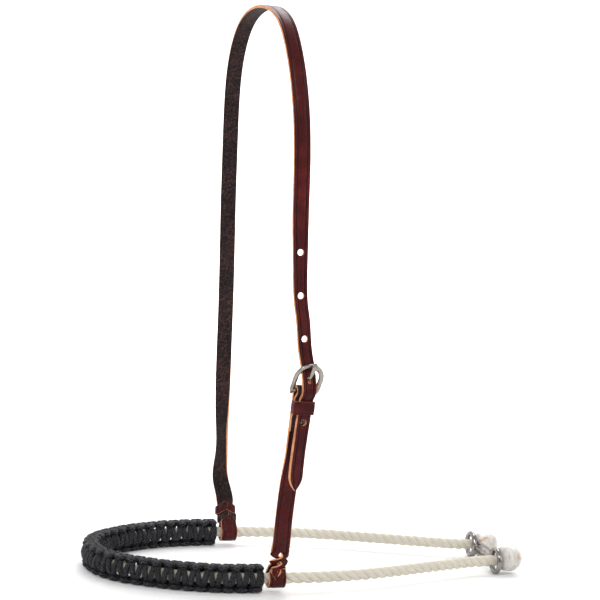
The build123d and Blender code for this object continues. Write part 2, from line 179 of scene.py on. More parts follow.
def cubic(places, values, at):
    """Natural cubic spline through values (rows) at increasing places, read at other places."""
    x, y = np.asarray(places, float), np.asarray(values, float).reshape(len(places), -1)
    n, h = len(x), np.diff(np.asarray(places, float))
    m, r = np.eye(n), np.zeros((n, y.shape[1]))
    for i in range(1, n - 1):
        m[i, i - 1:i + 2] = h[i - 1], 2 * (h[i - 1] + h[i]), h[i]
        r[i] = 6 * ((y[i + 1] - y[i]) / h[i] - (y[i] - y[i - 1]) / h[i - 1])
    c = np.linalg.solve(m, r)
    at = np.asarray(at, float)
    k = np.clip(np.searchsorted(x, at) - 1, 0, n - 2)
    a, b, w = (x[k + 1] - at)[:, None], (at - x[k])[:, None], h[k][:, None]
    return (c[k] * a ** 3 + c[k + 1] * b ** 3) / (6 * w) + (y[k] / w - c[k] * w / 6) * a + (
        y[k + 1] / w - c[k + 1] * w / 6) * b


# ---- materials ------------------------------------------------------------------------------
class Look:
    """A Principled material and short ways to add nodes to it."""

    def __init__(self, name, **sockets):
        self.material = bpy.data.materials.new(name)
        self.material.use_nodes = True
        self.tree = self.material.node_tree
        self.shader = self.tree.nodes["Principled BSDF"]
        for socket, value in sockets.items():
            self.shader.inputs[socket.replace("_", " ")].default_value = value
        self.coords = self.tree.nodes.new("ShaderNodeTexCoord").outputs["Object"]

    def put(self, socket, value):
        if isinstance(value, bpy.types.NodeSocket):
            self.tree.links.new(value, socket)
        elif value is not None:
            socket.default_value = value

    def flow(self):
        node = self.tree.nodes.new("ShaderNodeUVMap")
        node.uv_map = "flow"
        return node.outputs[0]

    def split(self, vector):
        node = self.tree.nodes.new("ShaderNodeSeparateXYZ")
        self.put(node.inputs[0], vector)
        return node.outputs

    def join(self, x, y, z=0.0):
        node = self.tree.nodes.new("ShaderNodeCombineXYZ")
        for socket, value in zip(node.inputs, (x, y, z)):
            self.put(socket, value)
        return node.outputs[0]

    def math(self, op, a, b=None, c=None, clamp=False):
        node = self.tree.nodes.new("ShaderNodeMath")
        node.operation, node.use_clamp = op, clamp
        for socket, value in zip(node.inputs, (a, b, c)):
            self.put(socket, value)
        return node.outputs[0]

    def stretch(self, vector, scale):
        node = self.tree.nodes.new("ShaderNodeMapping")
        self.put(node.inputs["Vector"], vector)
        node.inputs["Scale"].default_value = scale
        return node.outputs[0]

    def noise(self, scale, vector=None, detail=3.0, rough=0.55, distort=0.0):
        node = self.tree.nodes.new("ShaderNodeTexNoise")
        self.put(node.inputs["Vector"], self.coords if vector is None else vector)
        for key, value in (("Scale", scale), ("Detail", detail), ("Roughness", rough),
                           ("Distortion", distort)):
            node.inputs[key].default_value = value
        return node.outputs["Fac"]

    def cells(self, scale, vector=None, feature="F1", random=1.0):
        node = self.tree.nodes.new("ShaderNodeTexVoronoi")
        node.feature = feature
        self.put(node.inputs["Vector"], self.coords if vector is None else vector)
        node.inputs["Scale"].default_value = scale
        node.inputs["Randomness"].default_value = random
        return node.outputs["Distance"]

    def ramp(self, fac, *stops, mode="LINEAR"):
        node = self.tree.nodes.new("ShaderNodeValToRGB")
        node.color_ramp.interpolation = mode
        elements = node.color_ramp.elements
        for _ in range(len(stops) - 2):
            elements.new(0.5)
        for element, (at, colour) in zip(elements, stops):
            element.position = at
            element.color = (colour, colour, colour, 1) if isinstance(colour, (int, float)) else (*colour, 1)
        self.put(node.inputs[0], fac)
        return node.outputs[0]

    def mix(self, fac, a, b, mode="MIX"):
        node = self.tree.nodes.new("ShaderNodeMix")
        node.data_type, node.blend_type = "RGBA", mode
        self.put(node.inputs[0], fac)
        for socket, value in ((node.inputs[6], a), (node.inputs[7], b)):
            self.put(socket, (*value, 1) if isinstance(value, tuple) else value)
        return node.outputs[2]

    def bump(self, height, strength, distance, under=None):
        node = self.tree.nodes.new("ShaderNodeBump")
        node.inputs["Strength"].default_value = strength
        node.inputs["Distance"].default_value = distance
        self.put(node.inputs["Height"], height)
        if under is not None:
            self.put(node.inputs["Normal"], under)
        return node.outputs[0]

    def finish(self, colour=None, rough=None, normal=None):
        self.put(self.shader.inputs["Base Color"], colour)
        self.put(self.shader.inputs["Roughness"], rough)
        if normal is not None:
            self.put(self.shader.inputs["Normal"], normal)
        return self.material


def grey(v):
    return (v, v, v)


def rope_look():
    look = Look("lariat strand", Sheen_Weight=0.05, Sheen_Roughness=0.5, Specular_IOR_Level=0.35,
                Subsurface_Weight=0.08, Subsurface_Scale=0.002)
    look.shader.inputs["Subsurface Radius"].default_value = (1.0, 0.9, 0.7)
    u, v = look.split(look.flow())[:2]
    # fine yarns lie across the strand's own direction, nearly in line with the rope
    slant = look.math("ADD", look.math("MULTIPLY", u, 1.0), look.math("MULTIPLY", v, 0.42))
    wobble = look.math("MULTIPLY", look.noise(260, detail=2), 0.9)
    yarn = look.math("SINE", look.math("MULTIPLY", look.math("ADD", slant, wobble), 2 * pi / 0.72))
    yarn = look.math("MULTIPLY_ADD", yarn, 0.5, 0.5)
    fibre = look.noise(1.0, look.stretch(look.join(slant, v), (9.0, 0.7, 1.0)), detail=4)
    tone = look.math("ADD", look.math("MULTIPLY", yarn, 0.10), look.math("MULTIPLY", fibre, 0.55))
    blotch = look.noise(55, detail=2)
    colour = look.ramp(tone, (0.10, (0.50, 0.455, 0.36)), (0.34, (0.665, 0.625, 0.53)),
                       (0.62, (0.76, 0.73, 0.65)))
    colour = look.mix(look.math("MULTIPLY", blotch, 0.30), colour, (0.60, 0.55, 0.44))
    normal = look.bump(look.math("ADD", yarn, look.math("MULTIPLY", fibre, 1.2)), 0.35, 0.00022)
    rough = look.ramp(fibre, (0.3, 0.42), (0.7, 0.60))
    return look.finish(colour, rough, normal)


def paracord_look(name, shift=0.0):
    look = Look(name, Sheen_Weight=0.01, Sheen_Roughness=0.4, Specular_IOR_Level=0.14)
    u, v = look.split(look.flow())[:2]
    k_round, k_long = 2 * pi * 5 / 14.9, 2 * pi / 2.9
    a = look.math("MULTIPLY", u, k_round)
    b = look.math("MULTIPLY", v, k_long)
    d1 = look.math("SINE", look.math("ADD", a, b))
    d2 = look.math("SINE", look.math("SUBTRACT", a, b))
    # herringbone: the two families of carriers go over each other by turns
    weave = look.math("MULTIPLY_ADD", look.math("MAXIMUM", d1, d2), 0.5, 0.5)
    pick = look.math("MULTIPLY_ADD", look.math("MULTIPLY", d1, d2), 0.5, 0.5)
    fibre = look.noise(1.0, look.stretch(look.join(look.math("ADD", u, shift), v), (7.0, 2.2, 1.0)), detail=4)
    worn = look.noise(190, detail=3)
    tone = look.math("ADD", look.math("MULTIPLY", weave, 0.42), look.math("MULTIPLY", fibre, 0.46))
    # the colour runs from near black in the weave's grooves to light grey on the raised carriers: painted
    # shade in the grooves and a painted highlight on the tops of the black cord
    colour = look.ramp(tone, (0.36, grey(0.0015)), (0.53, (0.008, 0.008, 0.0095)),
                       (0.70, (0.085, 0.085, 0.096)))
    colour = look.mix(look.math("MULTIPLY", look.ramp(worn, (0.55, 0.0), (0.75, 1.0)), 0.30), colour,
                      (0.075, 0.075, 0.083))
    height = look.math("ADD", look.math("MULTIPLY", weave, 0.8), look.math("ADD", pick, fibre))
    normal = look.bump(height, 0.9, 0.0006)
    rough = look.ramp(fibre, (0.25, 0.38), (0.7, 0.62))
    return look.finish(colour, rough, normal)


def grain_look(name, dark=1.0):
    """The smooth side of burgundy harness leather; dark below 1 is for the crease lines, darkened partly as
    the creaser's own mark and partly as painted shade in their grooves.
    """
    look = Look(name, Specular_IOR_Level=0.12, Coat_Weight=0.02, Coat_Roughness=0.25)
    pores = look.cells(1500, look.stretch(look.coords, (1.0, 1.0, 0.8)))
    creased = look.noise(420, detail=5, rough=0.62, distort=0.3)
    blotch = look.noise(38, detail=3)
    streak = look.noise(1.0, look.stretch(look.coords, (700, 700, 60)), detail=3)
    tone = look.math("ADD", look.math("MULTIPLY", blotch, 0.62), look.math("MULTIPLY", streak, 0.38))
    colour = look.ramp(tone, (0.30, (0.034 * dark, 0.0042 * dark, 0.0046 * dark)),
                       (0.52, (0.074 * dark, 0.0080 * dark, 0.0082 * dark)),
                       (0.74, (0.135 * dark, 0.0170 * dark, 0.0160 * dark)))
    colour = look.mix(look.math("MULTIPLY", look.ramp(creased, (0.30, 1.0), (0.50, 0.0)), 0.5), colour,
                      (0.018, 0.006, 0.007))
    height = look.math("ADD", look.math("MULTIPLY", pores, 0.8), look.math("MULTIPLY", creased, 1.0))
    normal = look.bump(height, 0.30, 0.00028)
    rough = look.ramp(creased, (0.3, 0.46), (0.7, 0.30))
    return look.finish(colour, rough, normal)


def flesh_look():
    """The rough inner side of the leather, nearly black with red specks."""
    look = Look("leather flesh side", Specular_IOR_Level=0.1, Sheen_Weight=0.02, Sheen_Roughness=0.6)
    nap = look.noise(900, detail=5, rough=0.7)
    fleck = look.noise(480, detail=4, rough=0.75)
    blotch = look.noise(30, detail=2)
    tone = look.math("ADD", look.math("MULTIPLY", fleck, 0.8), look.math("MULTIPLY", blotch, 0.2))
    colour = look.ramp(tone,
                       (0.34, (0.009, 0.0065, 0.007)), (0.50, (0.024, 0.017, 0.017)),
                       (0.60, (0.070, 0.033, 0.032)), (0.74, (0.14, 0.080, 0.074)))
    normal = look.bump(look.math("ADD", nap, fleck), 0.6, 0.0005)
    return look.finish(colour, look.ramp(nap, (0.3, 0.95), (0.7, 0.75)), normal)


def edge_look():
    """The raw cut edge of veg-tanned leather."""
    look = Look("leather cut edge", Specular_IOR_Level=0.25)
    layers = look.noise(1.0, look.stretch(look.coords, (1500, 1500, 400)), detail=4)
    blotch = look.noise(70, detail=3)
    colour = look.ramp(layers, (0.30, (0.50, 0.185, 0.075)), (0.52, (0.80, 0.36, 0.17)),
                       (0.75, (0.90, 0.50, 0.28)))
    colour = look.mix(look.ramp(blotch, (0.42, 0.0), (0.72, 0.65)), colour, (0.30, 0.10, 0.055))
    normal = look.bump(layers, 0.5, 0.0003)
    return look.finish(colour, look.ramp(blotch, (0.3, 0.85), (0.7, 0.65)), normal)


def metal_look(name, tone, rough, tarnish):
    """Nickel plate; the tint keeps glancing reflections from going white."""
    look = Look(name, Metallic=1.0, Specular_IOR_Level=0.5, Specular_Tint=(0.62, 0.60, 0.58, 1))
    scuff = look.noise(1.0, look.stretch(look.coords, (900, 300, 1400)), detail=4)
    cloud = look.noise(120, detail=4)
    pits = look.cells(1600)
    dim = tuple(c * 0.72 for c in tone)
    colour = look.mix(look.ramp(cloud, (0.35, 0.0), (0.7, 1.0)), tone, dim)
    colour = look.mix(look.math("MULTIPLY", look.ramp(cloud, (0.60, 0.0), (0.82, 1.0)), tarnish), colour,
                      (0.16, 0.12, 0.085))
    normal = look.bump(look.math("ADD", look.math("MULTIPLY", scuff, 0.7), look.math("MULTIPLY", pits, 0.4)),
                       0.10, 0.0001)
    normal = look.bump(look.noise(110, detail=1), 0.9, 0.0011, under=normal)
    return look.finish(colour, look.ramp(look.math("ADD", look.math("MULTIPLY", scuff, 0.5),
                                                   look.math("MULTIPLY", cloud, 0.5)),
                                         (0.3, rough * 0.7), (0.7, rough * 1.5)), normal)


def knot_look():
    """Melted and waxed rope end: cream, with amber where the fibre was scorched."""
    look = Look("sealed rope end", Specular_IOR_Level=0.55, Coat_Weight=0.35, Coat_Roughness=0.18,
                Subsurface_Weight=0.15, Subsurface_Scale=0.003)
    look.shader.inputs["Subsurface Radius"].default_value = (1.0, 0.8, 0.55)
    u, v = look.split(look.flow())[:2]
    cloud = look.noise(95, detail=4, distort=0.5)
    scorch = look.noise(62, look.stretch(look.coords, (1.0, 1.4, 1.0)), detail=3, distort=0.8)
    fibre = look.noise(1.0, look.stretch(look.flow(), (5.0, 0.8, 1.0)), detail=4)
    colour = look.ramp(cloud, (0.30, (0.52, 0.48, 0.43)), (0.52, (0.70, 0.67, 0.645)),
                       (0.72, (0.80, 0.785, 0.77)))
    # tan lines where the tucked strands meet
    wander = look.math("MULTIPLY", look.noise(70, detail=2), 9.0)
    slant = look.math("MULTIPLY_ADD", u, 0.115, look.math("MULTIPLY", v, 0.95))
    lines = look.math("SINE", look.math("ADD", slant, wander))
    lines = look.ramp(look.math("ABSOLUTE", lines), (0.0, 1.0), (0.16, 0.0))
    patchy = look.ramp(look.noise(120, detail=3), (0.40, 0.1), (0.62, 0.85))
    colour = look.mix(look.math("MULTIPLY", lines, patchy), colour, (0.34, 0.205, 0.10))
    colour = look.mix(look.ramp(scorch, (0.58, 0.0), (0.67, 0.85)), colour, (0.50, 0.235, 0.05))
    colour = look.mix(look.ramp(scorch, (0.70, 0.0), (0.82, 0.9)), colour, (0.10, 0.035, 0.012))
    normal = look.bump(look.math("ADD", cloud, look.math("MULTIPLY", fibre, 0.7)), 0.30, 0.0005)
    return look.finish(colour, look.ramp(cloud, (0.3, 0.28), (0.7, 0.42)), normal)


ROPE = rope_look()
CORD_A, CORD_B = paracord_look("black paracord outer"), paracord_look("black paracord inner", 3.1)
GRAIN, FLESH, EDGE = grain_look("burgundy leather"), flesh_look(), edge_look()
BUCKLE_METAL = metal_look("polished buckle nickel", (0.42, 0.385, 0.35), 0.13, 0.25)
CAST_METAL = metal_look("cast connector nickel", (0.33, 0.31, 0.30), 0.16, 0.30)
KNOT = knot_look()
# the fourth, for the crease lines, is the grain darkened to 0.28: partly the creaser's own darker line,
# partly painted shade in the grooves
LEATHER = (GRAIN, EDGE, FLESH, grain_look("burgundy crease line painted shade", 0.28))


# ---- rope -----------------------------------------------------------------------------------
def lay_length(t):
    """Length of one turn of the strands: hard by the connector, longer where the loops sit."""
    far = abs(t)
    return (30.0 if t < 0 else 27.5) - 4.0 * min(1.0, max(0.0, (far - 200) / 200))


STRAND_AT, STRAND_DEEP, STRAND_WIDE = 2.72, 2.50, 2.78    # a strand's centre and half sizes


def make_rope():
    step = 1.15
    places = np.arange(-ROPE_END_AT + 0.5, ROPE_END_AT - 0.4, step)
    turn = np.concatenate([[0], np.cumsum([2 * pi * step / lay_length(t) for t in places[:-1]])])
    for strand in range(3):
        rough = np.convolve(rng.normal(0, 1, len(places) + 40), np.ones(21) / 21, "same")[20:-20]
        rings, lengths, last, along = [], [], None, 0.0
        sides = 20
        for i, t in enumerate(places):
            point, ahead, out = band(t)
            up = Vector((0, 0, 1))
            angle = turn[i] + 2 * pi * strand / 3
            spoke = out * cos(angle) + up * sin(angle)
            around = up * cos(angle) - out * sin(angle)
            centre = point + spoke * (STRAND_AT + 0.10 * rough[i])
            slope = atan2(2 * pi * STRAND_AT, lay_length(t))
            across = around * cos(slope) - ahead * sin(slope)
            if last is not None:
                along += (centre - last).length
            last = centre
            lengths.append(along)
            r_in, r_side = STRAND_DEEP + 0.06 * rough[i], STRAND_WIDE + 0.06 * rough[i]
            rings.append([place(centre + spoke * (r_in * cos(2 * pi * k / sides))
                                + across * (r_side * sin(2 * pi * k / sides))) for k in range(sides)])
        piece = skin("noseband_strand_%d" % (strand + 1), rings, [ROPE], lengths=lengths)
        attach(piece, "noseband")
        if strand == 0:
            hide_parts("noseband_rope")


# ---- nose cover: a cobra braid of two cords round the rope ------------------------------------
CORD_FLAT, CORD_HALF, PERIOD, REACH = 1.95, 2.6, 11.7, radians(118)
COVER_PERIODS, RIDGE_RISE, CORD_SLIP = 31.5, 3.9, 3.0
CORD_END_IN, CORD_END_DIVE = 2.4, 2.2     # both cords stop short of the cover's end and dive under


def braid_point(phase, base, waver):
    """A cord's path in the braid; base is 0 for the cord that crosses in front of the nose side."""
    swing = sin(2 * pi * phase)
    own = abs(REACH * swing)
    wave = sin(4 * pi * phase)
    slip = CORD_SLIP * (abs(wave) ** 1.5) * (1 if wave > 0 else -1)
    t = PERIOD * phase - slip
    x = min(1.0, max(0.0, (own - radians(66)) / radians(40)))
    rise = x * x * (3 - 2 * x)
    radius = ROPE_R + CORD_FLAT * 0.98 + rise * RIDGE_RISE + waver
    return t, base + REACH * swing, radius


def make_cover():
    for index, (name, look, node) in enumerate((("nose_cover_cord_outer", CORD_A, "cover_cord_outer"),
                                                ("nose_cover_cord_inner", CORD_B, "cover_cord_inner"))):
        points, hints, sizes = [], [], []
        fine = 56
        total = int(COVER_PERIODS * fine)
        waver = np.convolve(rng.normal(0, 1, total + 61), np.ones(31) / 31, "same")[30:-30] * 0.5
        angle_waver = np.convolve(rng.normal(0, 1, total + 61), np.ones(41) / 41, "same")[30:-30] * 0.16
        for i in range(total + 1):
            phase = (i - total / 2) / fine
            t, angle, radius = braid_point(phase, pi * index, waver[i])
            angle += angle_waver[i]
            t = max(-COVER_HALF + CORD_END_IN, min(COVER_HALF - CORD_END_IN, t))
            end = min(i, total - i) / fine
            radius -= CORD_END_DIVE * max(0.0, 1 - end / 0.07)
            point, ahead, out = band(t)
            spoke = out * cos(angle) + Vector((0, 0, 1)) * sin(angle)
            points.append(point + spoke * radius)
            hints.append(spoke)
            sizes.append(0.8 + 0.2 * min(1.0, end * 8))
        piece = tube(name, points, [CORD_FLAT * s for s in sizes], [look], sides=16,
                     wide=[CORD_HALF * s for s in sizes], hint=hints)
        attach(piece, "noseband")
        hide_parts(node)


make_rope()
make_cover()


# ---- end knots ------------------------------------------------------------------------------
KNOT_FROM_RING, KNOT_LONG = 4.8, 21.5


def make_end_knot(side, name, node, seed, lift):
    """A barrel of three strands tucked round themselves, melted smooth at the end."""
    start, heading = arm_point(RING_AT + KNOT_FROM_RING, side)
    h = radians(heading)
    start = start + Vector((0, 0, lift))
    ahead, out, up = Vector((cos(h), sin(h), 0)), Vector((-sin(h), cos(h), 0)), Vector((0, 0, 1))
    profile = ((0.0, 5.4), (0.15, 8.2), (1.0, 10.4), (2.6, 11.8), (5.0, 12.5), (8.0, 12.7), (11.5, 12.6),
               (14.5, 11.9), (17.5, 10.3), (19.6, 8.2), (20.8, 5.8), (21.35, 3.2), (21.5, 1.0))
    steps, sides = 64, 72
    spot = np.linspace(0, 1, len(profile))
    shape = cubic(spot, profile, np.linspace(0, 1, steps))
    local = np.random.default_rng(seed)
    lump = local.normal(0, 1, (3, 6))
    rings = []
    for j, (x, r) in enumerate(shape):
        ring = []
        for k in range(sides):
            a = 2 * pi * k / sides
            share = x / KNOT_LONG
            # three rounded strands cross the barrel on a slant, and three more tuck under at the back
            first = abs(sin(1.5 * (a + 2.6 * share + seed))) ** 0.5
            second = abs(sin(1.5 * (a - 3.4 * share + 0.7 * seed))) ** 0.4
            weight = min(1.0, max(0.0, (share - 0.42) / 0.18))
            groove = (1 - first) * (1 - weight) + (1 - second) * weight
            fade = min(1.0, share * 6) * min(1.0, (1 - share) * 3.2)
            bulge = sum(lump[i, 0] * 0.10 * sin((i + 1) * a + lump[i, 1] * 3 + x * 0.2 * lump[i, 2])
                        for i in range(3))
            seam = 0.9 * np.exp(-((share - 0.36 - 0.05 * sin(2 * a + seed)) / 0.035) ** 2)
            radius = max(0.4, r - (1.0 * groove + 0.7 * seam) * fade + bulge * fade)
            spoke = out * cos(a) + up * sin(a)
            ring.append(place(start + ahead * (x + 0.25 * sin(3 * a) * fade) + spoke * radius))
        rings.append(ring)
    piece = skin(name, rings, [KNOT])
    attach(piece, "noseband")
    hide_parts(node)


make_end_knot(-1, "end_knot_near_wrapped", "end_knot_near", 1, 1.9)
make_end_knot(1, "end_knot_far_wrapped", "end_knot_far", 4, 0.4)


# ---- jaw connector --------------------------------------------------------------------------
def smooth_join(name, pieces, voxel=0.00035, rounds=6):
    """Several closed meshes become one skin with rounded inner corners."""
    bpy.ops.object.select_all(action="DESELECT")
    for p in pieces:
        p.select_set(True)
    bpy.context.view_layer.objects.active = pieces[0]
    bpy.ops.object.join()
    whole = bpy.context.view_layer.objects.active
    whole.name = name
    remesh = whole.modifiers.new("remesh", "REMESH")
    remesh.mode, remesh.voxel_size = "VOXEL", voxel
    smooth = whole.modifiers.new("smooth", "SMOOTH")
    smooth.factor, smooth.iterations = 0.5, rounds
    bpy.context.view_layer.update()
    mesh = bpy.data.meshes.new_from_object(whole.evaluated_get(bpy.context.evaluated_depsgraph_get()))
    old = whole.data
    whole.modifiers.clear()
    whole.data = mesh
    bpy.data.meshes.remove(old)
    mesh.polygons.foreach_set("use_smooth", [True] * len(mesh.polygons))
    return whole


RING_R, RING_WIRE = 10.6, 2.5
EYE_TILT = 70.0


def make_connector():
    centre, _ = arm_point(RING_AT, 1)
    parts = []
    for side in (-1, 1):
        ring = []
        for k in range(72):
            a = 2 * pi * k / 72
            ring.append(Vector((centre.x, side * centre.y + RING_R * cos(a), RING_R * sin(a))))
        # the wire swells where it runs into the eye
        sizes = [RING_WIRE * (1 + 0.28 * max(0.0, -side * cos(2 * pi * k / 72)) ** 3) for k in range(72)]
        parts.append(tube("ring", ring, sizes, [CAST_METAL], sides=20, closed=True,
                          hint=[Vector((1, 0, 0))] * 72, wide=[s * 0.96 for s in sizes]))
    # the eye: a flat front band and a thin rear bar, with the strap's slot between them
    tilt = radians(EYE_TILT)
    up = Vector((cos(tilt), 0, sin(tilt)))
    normal = Vector((0, 1, 0)).cross(up)
    reach = centre.y - RING_R + 0.3
    rings = []
    count = 96
    for k in range(count):
        a = 2 * pi * k / count
        c, s = cos(a), sin(a)
        front = max(0.0, -s)
        ends = abs(c) ** 0.55 * (1 if c > 0 else -1)
        mid = Vector(((reach - 3.0) * ends, 1.2 + (5.0 if s > 0 else -2.9) * abs(s) ** 0.6))
        wide = 1.2 + 1.9 * front ** 0.6 + 0.75 * abs(c) ** 3
        after = Vector(((reach - 3.0) * abs(cos(a + 0.02)) ** 0.55 * (1 if cos(a + 0.02) > 0 else -1),
                        1.2 + (5.0 if sin(a + 0.02) > 0 else -2.9) * abs(sin(a + 0.02)) ** 0.6))
        along = (after - mid).normalized()
        outward = Vector((along.y, -along.x))
        ring = []
        for x, t in ((-1, 0), (-0.92, 0.6), (-0.7, 0.9), (0, 1.0), (0.7, 0.9), (0.92, 0.6),
                     (1, 0), (0.92, -0.6), (0.7, -0.9), (0, -1.0), (-0.7, -0.9), (-0.92, -0.6)):
            flat = mid + outward * (x * wide)
            ring.append(place(Vector((centre.x, 0, 0)) + Vector((0, 1, 0)) * flat.x + up * flat.y
                              + normal * (1.5 * t)))
        rings.append(ring)
    parts.append(skin("eye", rings, [CAST_METAL], closed=True))
    piece = smooth_join("jaw_connector_cast", parts)
    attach(piece, "connector")
    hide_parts("jaw_connector")


make_connector()


# ---- leather --------------------------------------------------------------------------------
CREASE_FROM = 3.0      # a strap with a smaller half width has no crease lines


def section(half, thick, crease):
    """Points round a strap's section, grain side first, and the place in LEATHER of each one's face."""
    h = thick / 2
    c = min(crease, half * 0.55)
    groove, lip = 0.30, 0.42
    top = [(-half, h - 0.75), (-half + 0.10, h - 0.38), (-half + 0.38, h - 0.10), (-half + 0.85, h)]
    if half > CREASE_FROM:
        top += [(-half + c - 0.50, h + 0.02), (-half + c - 0.20, h - groove), (-half + c + 0.15, h - groove),
                (-half + c + lip, h + 0.03)]
    top += [(-half * 0.28, h + 0.10), (0, h + 0.12)]
    top = top + [(-x, y) for x, y in reversed(top[:-1])]
    bottom = [(half, -h + 0.45), (half - 0.12, -h + 0.18), (half - 0.45, -h), (half * 0.4, -h - 0.05),
              (0, -h - 0.06)]
    bottom = bottom + [(-x, y) for x, y in reversed(bottom[:-1])]
    points = top + bottom
    mats = []
    n = len(top)
    creases = (4, 5, 6, n - 6, n - 7, n - 8) if half > CREASE_FROM else ()
    for i in range(len(points)):
        if i in creases:
            mats.append(3)
        elif i < n - 1:
            mats.append(1 if i < 2 or i > n - 4 else 0)
        elif i == n - 1 or i == len(points) - 1:
            mats.append(1)
        elif n <= i < len(points) - 1:
            mats.append(1 if i in (n, len(points) - 2) else 2)
    return points, mats


def narrowed(half, thick, crease, base, base_crease):
    """The section of a strap, squeezed from a base half width where it is too narrow for crease lines."""
    if half > CREASE_FROM:
        return section(half, thick, crease)[0]
    return [(x * half / base, y) for x, y in section(base, thick, base_crease)[0]]


def strap(name, stations, step=1.5, crease=3.0, grain_out=1, tip=0.0, cap_mat=1):
    """A leather strap through (point, across, width, thickness) stations, all in millimetres.

    tip is the length over which its last end is rounded. cap_mat is its ends' place in LEATHER.
    """
    pts = np.array([s[0] for s in stations], float)
    places = np.concatenate([[0], np.cumsum(np.linalg.norm(np.diff(pts, axis=0), axis=1))])
    total = places[-1]
    at = np.arange(0, total, step)
    if tip:
        at = np.concatenate([at[at < total - tip - step], total - tip * (1 - np.linspace(0, 1, 26))])
    elif total - at[-1] > 0.2:
        at = np.append(at, total)
    line = cubic(places, pts, at)
    across = cubic(places, [s[1] for s in stations], at)
    size = np.array([[np.interp(a, places, [s[2] for s in stations]),
                      np.interp(a, places, [s[3] for s in stations])] for a in at])
    rings = []
    for i in range(len(at)):
        a, b = Vector(line[max(0, i - 1)]), Vector(line[min(len(at) - 1, i + 1)])
        ahead = (b - a).normalized()
        side = Vector(across[i])
        side = (side - ahead * ahead.dot(side)).normalized()
        out = ahead.cross(side) * grain_out
        half = size[i][0] / 2
        if tip:
            d = (total - at[i]) / tip
            if d < 1:
                half *= max(0.05, 1 - (1 - d) ** 2.4)
        points = narrowed(half, size[i][1], crease, 3.01, min(crease, 1.6))
        centre = Vector(line[i])
        rings.append([place(centre + side * x + out * y) for x, y in points])
    return skin(name, rings, LEATHER, seg_mat=section(8, 3, crease)[1], cap_mat=cap_mat), at, line


def turned(vector, axis, angle):
    return Matrix.Rotation(radians(angle), 3, axis) @ Vector(vector)


BUCKLE_AT = Vector((150.6, -129.85, 178.0))
HEADING, LEAN, ROLL = 8.0, 3.0, 2.2
hd = radians(HEADING)
U, N, V = Vector((cos(hd), sin(hd), 0)), Vector((sin(hd), -cos(hd), 0)), Vector((0, 0, 1))
V, N = turned(V, U, LEAN), turned(N, U, LEAN)
U, V = turned(U, N, -ROLL), turned(V, N, -ROLL)


def at_buckle(u, v, n):
    return BUCKLE_AT + U * u + V * v + N * n


def face(heading):
    return Vector((cos(radians(heading)), sin(radians(heading)), 0))


CHEEK_LEAN = 18.0


def stem_point(side, height, out=0.0, along=0.0):
    lean = radians(CHEEK_LEAN)
    base = arm_point(LOOP_AT, side)[0]
    rise = Vector((0, side * sin(lean), cos(lean)))
    outward = Vector((0, side * cos(lean), -sin(lean)))
    return base + rise * height + outward * out + Vector((along, 0, 0))


FAR_CHEEK = ((50, 147.6, 106.0, -30, 15.5), (72, 147.5, 112.7, -58, 15.0),
             (95, 147.5, 118.5, -60, 14.8), (122, 147.5, 123.5, -40, 14.8),
             (150, 147.4, 127.0, -25, 15.0), (185, 147.2, 129.8, -19, 15.0),
             (225, 146.2, 130.0, -17, 15.0), (275, 143.8, 127.6, -17, 15.0),
             (325, 141.3, 125.6, -16, 15.0), (375, 139.5, 124.2, -15, 15.0))
POLL_ARCH = ((420, 137.2, 119.0), (450, 135.3, 108.5), (475, 134.1, 91.5), (494, 133.7, 68.0),
             (505, 133.7, 36.0))
POLL_TOP = (508.3, 133.7)
NEAR_CHEEK = ((375, 139.5, 124.4, 0, 15.0), (325, 141.1, 125.8, 1, 14.6),
              (285, 143.0, 127.2, 4, 13.4), (250, 146.0, 128.8, 7, 12.7))
BILLET_RUN = ((62, -3.2, -5.5), (45, -1.3, -2.9), (34, 0.7, -1.25), (25, 4.3, 0.0),
              (12.4, 9.4, 1.2), (4.0, 11.8, 1.6), (0.0, 11.9, 1.8), (-4.0, 10.0, 1.7),
              (-7.0, 8.3, 1.7), (-10.0, 7.9, 1.7), (-16.0, 7.9, 1.6), (-22.0, 8.0, 1.4),
              (-40.0, 8.4, 0.6), (-61.0, 8.6, 0.2), (-87.5, 8.9, 1.0))
BUCKLE_CHEEK = ((50, 149.1, 106.2, -14, 15.5), (75, 148.1, 113.6, -16, 15.5),
                (100, 148.0, 120.6, -8, 15.5), (118, 148.7, 124.6, 3, 15.5))
SPARE_HOLES = ((-1, 8.0), (1, 8.0), (2, 6.0), (3, 3.5))
HOLE_PITCH, HOLE_R = 37.5, 2.9


def cut(obj, cutters, folded=False):
    """Boolean holes, cut exactly, with the cutter's own material on the new walls."""
    for c in cutters:
        m = obj.modifiers.new("cut", "BOOLEAN")
        m.operation, m.solver, m.object = "DIFFERENCE", "EXACT", c
        m.material_mode, m.use_self = "TRANSFER", folded
    bpy.context.view_layer.update()
    mesh = bpy.data.meshes.new_from_object(obj.evaluated_get(bpy.context.evaluated_depsgraph_get()))
    old = obj.data
    obj.modifiers.clear()
    obj.data = mesh
    bpy.data.meshes.remove(old)
    for c in cutters:
        bpy.data.objects.remove(c)


def plug(point, ahead, out, r_across, half_long, depth):
    """A round or slotted cutter; ahead is the way a slot runs."""
    side = out.cross(ahead).normalized()
    outline = []
    for k in range(36):
        a = 2 * pi * k / 36
        extra = half_long - r_across
        along = r_across * sin(a) + (extra if sin(a) > 0 else -extra)
        outline.append(side * (r_across * cos(a)) + ahead * along)
    rings = [[place(point + p + out * d) for p in outline] for d in (-depth, depth)]
    return skin("cutter", rings, [EDGE])


